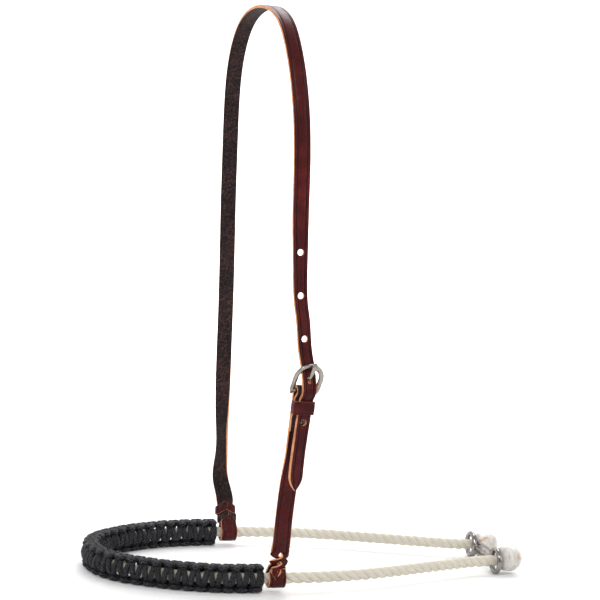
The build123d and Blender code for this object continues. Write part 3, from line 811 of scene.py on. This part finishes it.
def make_crown():
    # the strap's foot lies a little forward on its knot
    stations = [(stem_point(1, 24, 0, -2.4), face(-2), 15.0, 2.6),
                (stem_point(1, 31, 0, -2.3), face(-4), 16.6, 3.0)]
    stations += [((x - max(0.0, 2.2 - (z - 50) / 15), half, z), face(h), w, 3.0)
                 for z, x, half, h, w in FAR_CHEEK]
    stations += [((x, half, z), face(-12 + 3 * i), 15.0, 3.0) for i, (z, x, half) in enumerate(POLL_ARCH)]
    stations += [((POLL_TOP[1], 0, POLL_TOP[0]), face(0), 15.0, 3.0)]
    stations += [((x, -half, z), face(0), 15.0, 3.0) for z, x, half in reversed(POLL_ARCH)]
    stations += [((x, -half, z), face(h), w, 3.0) for z, x, half, h, w in NEAR_CHEEK]
    # below the keeper the billet turns a little and is thicker
    stations += [(at_buckle(u, v, n), face(HEADING + (5 if v < -24 else 0)), 12.9, 3.0 if v > -24 else 3.7)
                 for v, n, u in BILLET_RUN]
    piece, at, line = strap("crown_strap_leather", stations, tip=15.0, crease=3.1)
    # the tongue's hole is cut last, and the others are whole pitches from it
    hole = at_buckle(1.5, 10.2, 10.2)
    here = int(np.argmin(np.linalg.norm(line - np.array(hole), axis=1)))
    cutters = []
    for count, heading in SPARE_HOLES:
        want = at[here] - count * HOLE_PITCH
        i = int(np.argmin(np.abs(at - want)))
        way = (Vector(line[i + 1]) - Vector(line[i - 1])).normalized()
        out = way.cross(face(heading)).normalized()
        cutters.append(plug(Vector(line[i]), way, out, HOLE_R, HOLE_R, 5))
    cutters.append(plug(at_buckle(0.5, 12.4, 10.2), V, N, 1.0, 1.3, 6))
    cutters.append(plug(at_buckle(0.9, 10.8, 13.0), V, N, 1.6, 2.5, 3))
    cut(piece, cutters)
    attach(piece, "headstall")
    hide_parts("crown_strap")
    return piece


FOLD_N, FOLD_MID = 4.4, 4.1
FRONT_N, CLAMP_N = 4.6, 2.8
SCREW_V = -27.5


def make_buckle_strap():
    stations = [(stem_point(-1, 27.5), face(-4), 17.0, 3.0), (stem_point(-1, 31), face(-6), 16.0, 3.2)]
    stations += [((x, -half, z), face(h), w, 3.0) for z, x, half, h, w in BUCKLE_CHEEK]
    for v in (-45.5, -39.5, -30, -20, -10, -3):
        stations.append((at_buckle(0, v, 0), U, 15.5, 3.0))
    for k in range(7):
        a = pi * k / 6
        fold = FOLD_N - FOLD_MID * cos(a) - (0.15 if k == 0 else 0)
        stations.append((at_buckle(0, FOLD_MID * sin(a), fold), U, 15.5, 3.0 - 0.1 * k))
    for v, n in ((-3.0, 7.0), (-5.6, 4.9), (-9, FRONT_N), (-16, FRONT_N), (-19.5, 4.3),
                 (-22.5, CLAMP_N + 0.1), (-28, CLAMP_N), (-36, CLAMP_N)):
        stations.append((at_buckle(0, v, n), U, 15.5, 2.4 if v > -30 else 2.1))
    piece, _, _ = strap("buckle_strap_leather", stations, step=0.9, grain_out=-1, crease=3.1, cap_mat=0)
    slot_cutter = plug(at_buckle(0.3, 0.5, FOLD_N), V, N, 3.2, 6.0, 9)
    screw_hole = plug(at_buckle(0, SCREW_V, 0), V, N, 2.25, 2.25, 9)
    cut(piece, [slot_cutter, screw_hole], folded=True)
    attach(piece, "headstall")
    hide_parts("buckle_strap")
    return piece


def make_loop(side, name):
    """The strap's end round the rope, rising to a point between the knot's bands."""
    mid = 7.3 if side < 0 else 7.2
    run = [(13.0, 1.5, 9.0, 2.4), (10.0, 3.2, 15.0, 2.8)]
    for a in (60, 30, 0, -30, -60, -90, -120, -150, -180, -210):
        run.append((mid * sin(radians(a)), mid * cos(radians(a)), 15.7, 3.0))
    run += [(7.6, -4.2, 15.5, 2.9), (11.0, -3.6, 15.0, 2.8), (14.5, -3.4, 7.0, 2.4)]
    stations = [(stem_point(side, height, out), Vector((1, 0, 0)), wide, thick)
                for height, out, wide, thick in run]
    piece, _, _ = strap(name, stations, step=0.8, grain_out=-side, crease=2.4)
    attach(piece, "headstall")
    return piece


def make_band(side, name, height, wide, tilt, half_a, half_o, forward, flip):
    """One turn of the bleed knot: a leather band that makes a V outside and a peak inside."""
    count = 72
    centre_line, normals = [], []
    for k in range(count):
        a = 2 * pi * k / count
        c, s = cos(a), sin(a)
        # c is +1 at the outer middle, s runs along the rope
        o = half_o * abs(c) ** 0.55 * (1 if c > 0 else -1)
        x = half_a * abs(s) ** 0.85 * (1 if s > 0 else -1)
        # the V outside is shallower, so that it stays clear of the rope
        drop = tilt * (1 - abs(x) / half_a) * (0.6 if c > 0 else -1)
        centre_line.append(stem_point(side, height - drop, o, x + forward))
        normals.append(stem_point(side, 0, o / half_o * 1.6, x / half_a) - stem_point(side, 0))
    rings = []
    rise = (stem_point(side, 1) - stem_point(side, 0)).normalized()
    for k in range(count):
        out = normals[k].normalized()
        ahead = (centre_line[(k + 1) % count] - centre_line[k - 1]).normalized()
        out = (out - ahead * ahead.dot(out)).normalized()
        up = ahead.cross(out).normalized()
        if up.dot(rise) < 0:
            up = -up
        h, t = wide / 2, 1.05
        pts = [(-h, t * 0.3), (-h * 0.97, t * 0.75), (-h * 0.88, t), (-h * 0.4, t * 1.22), (0, t * 1.28),
               (h * 0.4, t * 1.22), (h * 0.88, t), (h * 0.97, t * 0.75), (h, t * 0.3),
               (h, -t * 0.6), (h * 0.9, -t), (0, -t), (-h * 0.9, -t), (-h, -t * 0.6)]
        rings.append([place(centre_line[k] + up * x + out * y) for x, y in pts])
    outer, inner = (2, 0) if flip else (0, 2)
    seg = [outer] * 8 + [1, inner, inner, inner, inner, 1]
    seg[0] = seg[7] = 1
    piece = skin(name, rings, LEATHER, closed=True, seg_mat=seg)
    # the short slit that the strap's end was drawn through
    inward = stem_point(side, 0, -1) - stem_point(side, 0)
    slant = (rise + Vector((0.25, 0, 0))).normalized()
    slit_at = stem_point(side, height + tilt * 0.9, -half_o, forward + 0.4)
    cut(piece, [plug(slit_at, slant, inward, 0.55, 2.6, 3)], folded=True)
    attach(piece, "headstall")
    return piece


KNOT_CROSSINGS = (0.0, 7.5, 14.2, 21.2, 29.6, 36.0)
# how far the legs stand out from the stem's middle at each height: they come down over the loop's face
KNOT_RISE = ((0.0, 8.6), (3.0, 8.4), (6.0, 7.2), (9.0, 5.6), (12.0, 3.6), (16.0, 0.9), (32.0, 0.4))


def make_leg(side, name, first, low, high, crossings, swing, half):
    """One leg of the split strap, weaving over and under the other leg between the loop and the strap."""
    rings = []
    for h in np.arange(low, high + 0.1, 0.35):
        gap = np.interp(h, crossings, range(len(crossings)))
        # the legs stay apart for most of the way and change sides quickly, each time the other way over
        wave = sin(pi * gap)
        shift = first * swing * abs(wave) ** 0.75 * (1 if wave > 0 else -1)
        over = first * cos(pi * gap)
        twist = radians(28) * wave * first
        narrow = min(1.0, 0.25 + 0.75 * (h - low) / 6)
        shift *= narrow
        # the leg's upper end dives under the end of the strap
        stand = np.interp(h, *zip(*KNOT_RISE)) - np.interp(h, (24.5, 29.0), (0.0, 2.6))
        points, seg = section(half, 2.3, 1.3)
        points = [(x * narrow, y) for x, y in points]
        rings.append([place(stem_point(side, h, stand + 0.6 + 1.35 * over + y * cos(twist) - x * sin(twist),
                                       shift + x * cos(twist) + y * sin(twist))) for x, y in points])
    piece = skin(name, rings, LEATHER, seg_mat=seg, cap_mat=1)
    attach(piece, "headstall")
    return piece


def make_flap(side, name):
    """The pointed foot of the knot, lying on the loop's outer face."""
    rings = []
    for h in np.arange(1.2, 12.5, 0.35):
        half = np.interp(h, (1.2, 2.0, 9.0, 12.5), (0.35, 1.3, 6.9, 6.4))
        points = narrowed(half, 2.2, 1.3, 6.0, 1.3)
        stand = np.interp(h, *zip(*KNOT_RISE))
        rings.append([place(stem_point(side, h, stand + 0.5 + y, x)) for x, y in points])
    piece = skin(name, rings, LEATHER, seg_mat=section(6.0, 2.2, 1.3)[1], cap_mat=1)
    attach(piece, "headstall")
    return piece


make_crown()
make_buckle_strap()
make_loop(-1, "near_cheek_loop")
make_loop(1, "far_cheek_loop")
make_flap(-1, "near_bleed_flap")
for i in range(2):
    make_leg(-1, "near_bleed_leg_%d" % (i + 1), 1 - 2 * i, 7.2, 31.0, KNOT_CROSSINGS, 5.0, 3.9)
make_band(1, "far_bleed_band_1", 13.2, 8.2, 5.2, 8.1, 3.4, -0.6, True)
make_band(1, "far_bleed_band_2", 21.2, 7.8, 5.2, 8.7, 4.3, -2.0, False)


# ---- buckle ---------------------------------------------------------------------------------
FRAME_TURN, FRAME_LEAN, FRAME_U = 5.0, 17.0, 0.3
BAR_POINT = at_buckle(FRAME_U, 0, FOLD_N)
F_ACROSS = turned(U, N, -FRAME_TURN)


def frame_axes(lean):
    out = turned(N, F_ACROSS, lean)
    return F_ACROSS, out.cross(F_ACROSS).normalized(), out


def make_buckle_frame():
    across, up, out = frame_axes(FRAME_LEAN)
    out_r, in_r, cy, foot = 14.3, 9.3, 12.5, -2.2
    mid = (out_r + in_r) / 2
    path = [(-mid + 0.25, foot - 1.2 + k * 0.9) for k in range(4)]
    path += [(-mid + 0.1 * (1 - k / 10), 2.4 + (cy - 2.4) * k / 10) for k in range(10)]
    path += [(-mid * cos(pi * k / 48), cy + mid * sin(pi * k / 48)) for k in range(49)]
    path += [(mid - 0.1 * (k / 10), cy - (cy - 2.4) * k / 10) for k in range(1, 11)]
    path += [(mid - 0.25, 1.5 - k * 0.9) for k in range(4)]
    path = np.array(path)
    length = np.concatenate([[0], np.cumsum(np.linalg.norm(np.diff(path, axis=0), axis=1))])
    rings = []
    for i, (x, y) in enumerate(path):
        a, b = path[max(0, i - 1)], path[min(len(path) - 1, i + 1)]
        d = (b - a) / np.linalg.norm(b - a)
        n = np.array([-d[1], d[0]])        # points out of the horseshoe on its left side
        near_end = min(length[i], length[-1] - length[i])
        half = (out_r - in_r) / 2 * (0.40 + 0.60 * min(1.0, (near_end / 4.0)) ** 0.6)
        t = 1.6 * (0.6 + 0.4 * min(1.0, near_end / 3.0))
        # flat rim outside, a bevel inside, and a rounded back
        profile = ((1.0, 0.35), (0.86, 0.85), (0.45, 1.0), (-0.05, 0.96), (-0.18, 0.82), (-0.80, 0.30),
                   (-1.0, -0.15), (-0.8, -0.75), (-0.3, -1.0), (0.4, -1.0), (0.88, -0.75), (1.0, -0.2))
        pts = [(half * w, t * z) for w, z in profile]
        rings.append([place(BAR_POINT + across * (x + n[0] * w) + up * (y + n[1] * w) + out * z)
                      for w, z in pts])
    rim = skin("buckle_rim", rings, [BUCKLE_METAL], cap_dome=0.6)
    bar_pts = [BAR_POINT + across * x for x in np.linspace(-11.7, 11.7, 30)]
    bar = tube("bar", bar_pts, 1.5, [BUCKLE_METAL], sides=20)
    sub = rim.modifiers.new("round", "SUBSURF")
    sub.levels = sub.render_levels = 2
    bpy.context.view_layer.update()
    mesh = bpy.data.meshes.new_from_object(rim.evaluated_get(bpy.context.evaluated_depsgraph_get()))
    rim.modifiers.clear()
    rim.data = mesh
    for name, p in (("buckle_rim", rim), ("buckle_bar", bar)):
        p.name = name
        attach(p, "buckle")
    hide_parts("buckle_frame")


def make_tongue():
    across, up, out = frame_axes(0)
    run = ((2.6, 1.9, 2.4, 2.1), (9.0, 2.6, 2.2, 2.0), (13.4, 8.4, 2.2, 2.0),
           (18.5, 10.4, 3.4, 2.2), (23.6, 11.2, 4.8, 2.2), (27.2, 10.9, 4.4, 1.7))
    at = np.concatenate([[0], np.cumsum(np.linalg.norm(np.diff(np.array(run)[:, :2], axis=0), axis=1))])
    fine = np.linspace(0, at[-1], 60)
    line = cubic(at, np.array(run)[:, :2], fine)
    wide = np.interp(fine, at, [r[2] for r in run])
    thick = np.interp(fine, at, [r[3] for r in run])
    sway = np.interp(fine, at, (0.0, -0.3, -1.1, -0.5, 0.5, 0.9))
    rings = []
    sides = 16
    for i in range(60):
        a, b = line[max(0, i - 1)], line[min(59, i + 1)]
        d = (b - a) / np.linalg.norm(b - a)
        n = np.array([-d[1], d[0]])
        end = min(1.0, 0.45 + (59 - i) / 6)
        ring = []
        for k in range(sides):
            q = 2 * pi * k / sides
            w = wide[i] / 2 * end * abs(cos(q)) ** 0.6 * (1 if cos(q) > 0 else -1)
            h = thick[i] / 2 * end * abs(sin(q)) ** 0.7 * (1 if sin(q) > 0 else -1)
            ring.append(place(BAR_POINT + across * (w + sway[i]) + up * (line[i][0] + n[0] * h)
                              + out * (line[i][1] + n[1] * h)))
        rings.append(ring)
    shank = skin("shank", rings, [BUCKLE_METAL], cap_dome=0.5)
    eye = tube("eye", [BAR_POINT + up * (3.35 * cos(2 * pi * k / 48)) + out * (3.35 * sin(2 * pi * k / 48))
                       for k in range(48)], 1.05, [BUCKLE_METAL], sides=16, closed=True,
               hint=[across] * 48)
    piece = smooth_join("buckle_tongue_cast", [shank, eye], voxel=0.00022, rounds=3)
    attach(piece, "tongue")
    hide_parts("buckle_tongue")


def make_keeper():
    """A loop of leather round the billet, rounded at its corners, creased along both edges."""
    inner_u, low, high = 15.5 / 2 + 0.55, 1.75, 3.4 + 2.4 + 3.0 + 1.2
    h, top = 11.5 / 2, -8
    wall, inner_wall = 1.8, 1.4
    cu, out_n, in_n = inner_u + wall / 2, high + wall / 2, low + inner_wall / 2
    corner = 1.7
    path = []
    for cx, cn, a0 in ((cu - corner, out_n - corner, 0), (-cu + corner, out_n - corner, 90),
                       (-cu + corner, in_n + corner, 180), (cu - corner, in_n + corner, 270)):
        for k in range(9):
            a = radians(a0 + 90 * k / 8)
            path.append((cx + corner * cos(a), cn + corner * sin(a)))
    full = []
    for (x0, y0), (x1, y1) in zip(path, path[1:] + path[:1]):
        gap = sqrt((x1 - x0) ** 2 + (y1 - y0) ** 2)
        parts = max(1, int(gap / 0.8))
        full += [(x0 + (x1 - x0) * k / parts, y0 + (y1 - y0) * k / parts) for k in range(parts)]
    path = np.array(full)
    count = len(path)
    rings = []
    for i in range(count):
        a, b = path[i - 1], path[(i + 1) % count]
        d = (b - a) / np.linalg.norm(b - a)
        n = np.array([d[1], -d[0]])
        t = wall / 2 if path[i][1] > low + inner_wall + 1 else inner_wall / 2
        # from one edge: its rounding, its crease line and the flat between the creases
        half_out = [(0, -0.55), (0.15, -0.15), (0.55, 0), (1.5, 0.02), (1.8, -0.26), (2.15, -0.26),
                    (2.5, 0.04), (4.2, 0.08)]
        pts = [(-h + x, t + y) for x, y in half_out] + [(0, t + 0.08)]
        pts += [(h - x, t + y) for x, y in reversed(half_out)]
        pts += [(h, -t + 0.2), (h - 0.3, -t), (0, -t), (-h + 0.3, -t), (-h, -t + 0.2)]
        rings.append([place(at_buckle(path[i][0] + n[0] * y, top - h - x, path[i][1] + n[1] * y))
                      for x, y in pts])
    seg = [0] * 16 + [1, 1, 2, 2, 1, 1]
    piece = skin("keeper_leather", rings, LEATHER, closed=True, seg_mat=seg)
    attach(piece, "keeper")
    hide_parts("keeper_loop")


def make_screw(name, node, base, sign):
    """A Chicago screw's low domed head with a driver slot."""
    rings = []
    profile = ((0.0, 4.1), (0.35, 4.3), (0.75, 4.15), (1.0, 3.7), (1.15, 2.9), (1.2, 1.6), (1.22, 0.3))
    for z, r in profile:
        rings.append([place(at_buckle(r * cos(2 * pi * k / 48), SCREW_V + r * sin(2 * pi * k / 48) * sign,
                                      base + sign * z)) for k in range(48)])
    piece = skin(name, rings, [BUCKLE_METAL])
    slot_points = [(-5.0, -0.42), (5.0, -0.42), (5.0, 0.42), (-5.0, 0.42)]
    c, s = cos(0.5), sin(0.5)
    box = [[place(at_buckle(x * c - y * s, SCREW_V + x * s + y * c, base + sign * d)) for x, y in slot_points]
           for d in (0.65, 2.5)]
    cut(piece, [skin("slot", box, [BUCKLE_METAL])])
    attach(piece, "headstall")
    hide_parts(node)


make_buckle_frame()
make_tongue()
make_keeper()
make_screw("screw_cap_slotted", "screw_cap", 1.6 + 2.4 + 0.02, 1)
make_screw("screw_post_head", "screw_post", -1.5 - 0.02, -1)


# ---- floor, light, camera -------------------------------------------------------------------
def make_stage():
    look = Look("pale floor", Specular_IOR_Level=0.2)
    cloud = look.noise(3.0, detail=3)
    floor = look.finish(look.ramp(cloud, (0.3, grey(0.90)), (0.7, grey(0.93))),
                        look.ramp(cloud, (0.3, 0.6), (0.7, 0.7)))
    profile = [(0.0, 0.0)] + [(r, 0.0) for r in (0.5, 1.0, 2.0, 3.0, 4.0)]
    profile += [(4.0 + 3 * sin(a), 3 - 3 * cos(a)) for a in np.linspace(0.1, pi / 2, 14)] + [(7.0, 7.0)]
    bm = bmesh.new()
    sides = 96
    rows = []
    for r, z in profile:
        if r == 0:
            rows.append([bm.verts.new((0, 0, z))])
        else:
            rows.append([bm.verts.new((r * cos(2 * pi * k / sides), r * sin(2 * pi * k / sides), z))
                         for k in range(sides)])
    for lower, upper in zip(rows, rows[1:]):
        for k in range(sides):
            n = (k + 1) % sides
            if len(lower) == 1:
                bm.faces.new([lower[0], upper[k], upper[n]])
            else:
                bm.faces.new([lower[k], upper[k], upper[n], lower[n]])
    mesh = bpy.data.meshes.new("stage")
    bm.to_mesh(mesh)
    bm.free()
    mesh.materials.append(floor)
    mesh.polygons.foreach_set("use_smooth", [True] * len(mesh.polygons))
    obj = bpy.data.objects.new("stage", mesh)
    bpy.context.scene.collection.objects.link(obj)


def make_card(where, aim, wide, high):
    """A dark card out of view, for the metal to reflect."""
    look = Look("dark card", Specular_IOR_Level=0.1)
    cloud = look.noise(4.0, detail=3)
    cloth = look.finish(look.ramp(cloud, (0.3, grey(0.012)), (0.7, grey(0.03))),
                        look.ramp(cloud, (0.3, 0.8), (0.7, 0.9)))
    away = (Vector(where) - Vector(aim)).normalized()
    right = Vector((0, 0, 1)).cross(away).normalized()
    up = away.cross(right)
    verts = [Vector(where) + right * (wide / 2 * x) + up * (high / 2 * y) + away * (0.05 * (x * x - 1))
             for y in (-1, 0, 1) for x in (-1, -0.5, 0, 0.5, 1)]
    faces = [(r * 5 + k, r * 5 + k + 1, (r + 1) * 5 + k + 1, (r + 1) * 5 + k)
             for r in range(2) for k in range(4)]
    new_object("card", verts, faces, mats=[cloth])


def add_light(name, where, aim, size, power, tint=(1, 1, 1)):
    data = bpy.data.lights.new(name, "AREA")
    data.shape, data.size, data.energy, data.color = "DISK", size, power, tint
    obj = bpy.data.objects.new(name, data)
    obj.location = where
    obj.rotation_mode = "QUATERNION"
    obj.rotation_quaternion = (Vector(where) - Vector(aim)).to_track_quat("Z", "Y")
    bpy.context.scene.collection.objects.link(obj)


make_stage()
make_card((-0.95, -3.1, 1.0), (0, 0, 0.2), 1.9, 1.5)
world = bpy.data.worlds.new("studio")
bpy.context.scene.world = world
world.use_nodes = True
world.node_tree.nodes["Background"].inputs[0].default_value = (1, 1, 1, 1)
world.node_tree.nodes["Background"].inputs[1].default_value = 0.62
bpy.context.scene.view_settings.view_transform = "Standard"
add_light("key", (-1.5, -2.0, 2.3), (0, 0, 0.2), 1.1, 34)
add_light("fill", (2.2, -1.4, 1.1), (0, 0, 0.2), 1.0, 9)
add_light("rim", (0.6, 2.0, 2.2), (0, 0, 0.2), 1.2, 16)
add_light("backdrop", (0.6, 1.2, 3.2), (1.4, 5.2, 1.2), 2.4, 420)

camera = bpy.data.cameras.new("camera")
camera.lens, camera.sensor_width = 118.18, 36.0
camera.clip_start, camera.clip_end = 0.05, 50
eye = bpy.data.objects.new("camera", camera)
bpy.context.scene.collection.objects.link(eye)
azimuth, elevation, roll = radians(-16.83), radians(6.38), radians(3.73)
back = Vector((sin(azimuth) * cos(elevation), -cos(azimuth) * cos(elevation), sin(elevation)))
right = (-back).cross(Vector((0, 0, 1))).normalized()
above = right.cross(-back).normalized()
right, above = right * cos(roll) + above * sin(roll), above * cos(roll) - right * sin(roll)
eye.rotation_mode = "QUATERNION"
eye.rotation_quaternion = Matrix((right, above, back)).transposed().to_quaternion()
eye.location = place((183.27, 0, 241.4)) + back * 1.8325
bpy.context.scene.camera = eye
